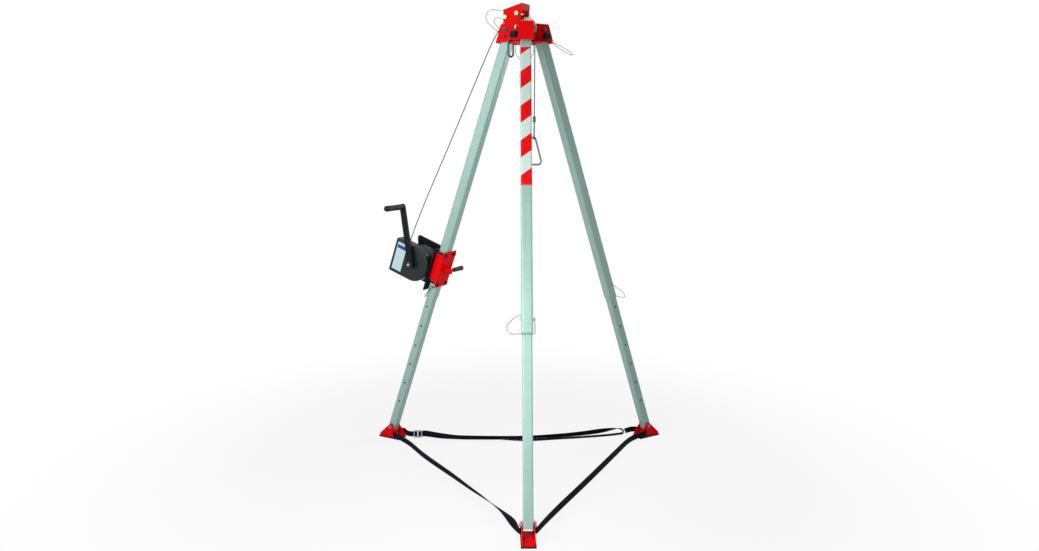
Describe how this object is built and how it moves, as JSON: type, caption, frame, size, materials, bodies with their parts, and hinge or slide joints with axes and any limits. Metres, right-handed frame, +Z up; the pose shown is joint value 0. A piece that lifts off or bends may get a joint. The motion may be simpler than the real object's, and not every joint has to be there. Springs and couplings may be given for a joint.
{
  "type": "rescue tripod",
  "caption": "Rescue tripod with telescopic square legs, a hinged pulley head, a hand winch clamped to one leg, its cable and hook, tilting feet and webbing between the feet.",
  "frame": {"origin": "the floor point under the axis of the head", "axes": "+Z up, -Y towards the front leg, left leg (with the winch) at 150 degrees and right leg at 30 degrees from +X"},
  "size_m": [1.5586, 1.3498, 2.2507],
  "materials": {
    "red_paint": "bright red powder coat, semi-gloss",
    "tube_aluminium": "satin extruded aluminium",
    "zinc_steel": "bright zinc plate",
    "wire_steel": "stranded or drawn steel wire",
    "nylon": "cast nylon, satin",
    "black_paint": "black powder coat",
    "black_plastic": "moulded black plastic",
    "rubber": "black moulded rubber",
    "webbing": "black polyester webbing"
  },
  "bodies": {
    "head": {"front_bracket": "red_paint", "left_bracket": "red_paint", "right_bracket": "red_paint", "hub_plate": "red_paint", "pulley_bracket": "red_paint", "pulley_bolts": "zinc_steel", "pivot_bolts": "zinc_steel", "head_lanyards": "wire_steel", "strap_left_front": "webbing", "strap_front_right": "webbing", "strap_left_right": "webbing", "winch_cable": "wire_steel", "drop_cable": "wire_steel"},
    "sheave": {"main_sheave": "nylon"},
    "roller": {"guide_roller": "nylon"},
    "ring": {"eye_ring": "wire_steel"},
    "stop_front": {"stop_pin_front": "black_plastic"},
    "upper_front": {"upper_tube_front": "tube_aluminium", "pin_lanyard_front": "wire_steel"},
    "lower_front": {"lower_tube_front": "tube_aluminium"},
    "step_front": {"foot_front": "red_paint", "foot_sole_front": "rubber", "foot_bolt_front": "zinc_steel"},
    "pin_front": {"lock_pin_front": "zinc_steel"},
    "bail_front": {"pin_bail_front": "wire_steel"},
    "stop_left": {"stop_pin_left": "black_plastic"},
    "upper_left": {"upper_tube_left": "tube_aluminium", "pin_lanyard_left": "wire_steel", "clamp_saddle": "red_paint", "clamp_plate": "red_paint", "clamp_bolts": "black_paint", "winch_frame": "black_paint", "winch_cover": "black_plastic"},
    "lower_left": {"lower_tube_left": "tube_aluminium"},
    "step_left": {"foot_left": "red_paint", "foot_sole_left": "rubber", "foot_bolt_left": "zinc_steel", "strap_slide": "zinc_steel"},
    "pin_left": {"lock_pin_left": "zinc_steel"},
    "bail_left": {"pin_bail_left": "wire_steel"},
    "stop_right": {"stop_pin_right": "black_plastic"},
    "upper_right": {"upper_tube_right": "tube_aluminium", "pin_lanyard_right": "wire_steel"},
    "lower_right": {"lower_tube_right": "tube_aluminium"},
    "step_right": {"foot_right": "red_paint", "foot_sole_right": "rubber", "foot_bolt_right": "zinc_steel"},
    "pin_right": {"lock_pin_right": "zinc_steel"},
    "bail_right": {"pin_bail_right": "wire_steel"},
    "lever": {"clamp_screw": "red_paint", "clamp_grip": "black_plastic"},
    "crank": {"drum": "zinc_steel", "drum_cable": "wire_steel", "ratchet_wheel": "zinc_steel", "crank_arm": "black_paint"},
    "grip": {"crank_grip": "black_plastic"},
    "pawl_arm": {"pawl": "zinc_steel"},
    "hook_set": {"cable_end": "zinc_steel", "hook": "zinc_steel"},
    "gate": {"hook_gate": "black_paint"}
  },
  "joints": [
    {"name": "fold_left", "type": "hinge", "parent": "head", "child": "upper_left", "pos_m": [-0.07312, 0.04222, 2.13698], "axis": [-0.5, -0.866, 0], "range_deg": [0, 16.5], "deforming": ["strap_left_front", "strap_left_right", "winch_cable"]},
    {"name": "telescope_left", "type": "slide", "parent": "upper_left", "child": "lower_left", "axis": [0.2877, -0.1661, 0.9432], "range_m": [0, 0.69]},
    {"name": "foot_tilt_left", "type": "hinge", "parent": "lower_left", "child": "step_left", "pos_m": [-0.69493, 0.40122, 0.068], "axis": [-0.5, -0.866, 0], "range_deg": [-25, 25]},
    {"name": "lock_pull_left", "type": "slide", "parent": "upper_left", "child": "pin_left", "axis": [-0.5, -0.866, 0], "range_m": [0, 0.08], "deforming": ["pin_lanyard_left"]},
    {"name": "bail_swing_left", "type": "hinge", "parent": "pin_left", "child": "bail_left", "pos_m": [-0.4661, 0.23088, 0.87257], "axis": [0.5, 0.866, 0], "range_deg": [0, 22]},
    {"name": "stop_pull_left", "type": "slide", "parent": "head", "child": "stop_left", "axis": [0.5, 0.866, 0], "range_m": [0, 0.085]},
    {"name": "fold_front", "type": "hinge", "parent": "head", "child": "upper_front", "pos_m": [0, -0.08443, 2.13698], "axis": [1, 0, 0], "range_deg": [0, 16.5], "deforming": ["strap_front_right"]},
    {"name": "telescope_front", "type": "slide", "parent": "upper_front", "child": "lower_front", "axis": [0, 0.3322, 0.9432], "range_m": [0, 0.69]},
    {"name": "foot_tilt_front", "type": "hinge", "parent": "lower_front", "child": "step_front", "pos_m": [0, -0.80243, 0.068], "axis": [1, 0, 0], "range_deg": [-25, 25]},
    {"name": "lock_pull_front", "type": "slide", "parent": "upper_front", "child": "pin_front", "axis": [1, 0, 0], "range_m": [0, 0.08], "deforming": ["pin_lanyard_front"]},
    {"name": "bail_swing_front", "type": "hinge", "parent": "pin_front", "child": "bail_front", "pos_m": [0.0331, -0.5191, 0.87257], "axis": [-1, 0, 0], "range_deg": [0, 110]},
    {"name": "stop_pull_front", "type": "slide", "parent": "head", "child": "stop_front", "axis": [-1, 0, 0], "range_m": [0, 0.085]},
    {"name": "fold_right", "type": "hinge", "parent": "head", "child": "upper_right", "pos_m": [0.07312, 0.04222, 2.13698], "axis": [-0.5, 0.866, 0], "range_deg": [0, 16.5]},
    {"name": "telescope_right", "type": "slide", "parent": "upper_right", "child": "lower_right", "axis": [-0.2877, -0.1661, 0.9432], "range_m": [0, 0.69]},
    {"name": "foot_tilt_right", "type": "hinge", "parent": "lower_right", "child": "step_right", "pos_m": [0.69493, 0.40122, 0.068], "axis": [-0.5, 0.866, 0], "range_deg": [-25, 25]},
    {"name": "lock_pull_right", "type": "slide", "parent": "upper_right", "child": "pin_right", "axis": [-0.5, 0.866, 0], "range_m": [0, 0.08], "deforming": ["pin_lanyard_right"]},
    {"name": "bail_swing_right", "type": "hinge", "parent": "pin_right", "child": "bail_right", "pos_m": [0.433, 0.28821, 0.87257], "axis": [0.5, -0.866, 0], "range_deg": [0, 110]},
    {"name": "stop_pull_right", "type": "slide", "parent": "head", "child": "stop_right", "axis": [0.5, -0.866, 0], "range_m": [0, 0.085]},
    {"name": "crank_turn", "type": "hinge", "parent": "upper_left", "child": "crank", "pos_m": [-0.53465, 0.30868, 0.99093], "axis": [-0.5, -0.866, 0], "range_deg": [0, 195], "deforming": ["drum_cable"]},
    {"name": "grip_spin", "type": "hinge", "parent": "crank", "child": "grip", "pos_m": [-0.62311, 0.24429, 1.28459], "axis": [-0.5, -0.866, 0], "continuous": true},
    {"name": "pawl_lift", "type": "hinge", "parent": "upper_left", "child": "pawl_arm", "pos_m": [-0.54009, 0.27949, 1.05212], "axis": [0.5, 0.866, 0], "range_deg": [-7, 12.5]},
    {"name": "lever_turn", "type": "hinge", "parent": "upper_left", "child": "lever", "pos_m": [-0.3923, 0.2265, 0.96697], "axis": [-0.8169, 0.4716, 0.3322], "range_deg": [0, 180]},
    {"name": "sheave_spin", "type": "hinge", "parent": "head", "child": "sheave", "pos_m": [0.00693, -0.004, 2.14166], "axis": [-0.5, -0.866, 0], "range_deg": [0, 377]},
    {"name": "roller_spin", "type": "hinge", "parent": "head", "child": "roller", "pos_m": [-0.07188, 0.0415, 2.19166], "axis": [-0.5, -0.866, 0], "range_deg": [0, 1149]},
    {"name": "ring_swing", "type": "hinge", "parent": "head", "child": "ring", "pos_m": [-0.06235, -0.036, 2.07766], "axis": [0.5, -0.866, 0], "range_deg": [-12, 12]},
    {"name": "hook_lift", "type": "slide", "parent": "head", "child": "hook_set", "axis": [0, 0, 1], "range_m": [0, 0.293], "deforming": ["drop_cable"]},
    {"name": "gate_swing", "type": "hinge", "parent": "hook_set", "child": "gate", "pos_m": [0.02322, -0.02625, 1.5464], "axis": [0, 1, 0], "range_deg": [0, 22], "stiffness_Nm_per_rad": 0.3, "springref_deg": -11.46}
  ],
  "couplings": [
    {"joint": "fold_front", "follows": "fold_left", "ratio": 1},
    {"joint": "fold_right", "follows": "fold_left", "ratio": 1},
    {"joint": "hook_lift", "follows": "crank_turn", "m_per_rad": 0.086},
    {"joint": "sheave_spin", "follows": "crank_turn", "ratio": 1.9326},
    {"joint": "roller_spin", "follows": "crank_turn", "ratio": 5.8904}
  ]
}
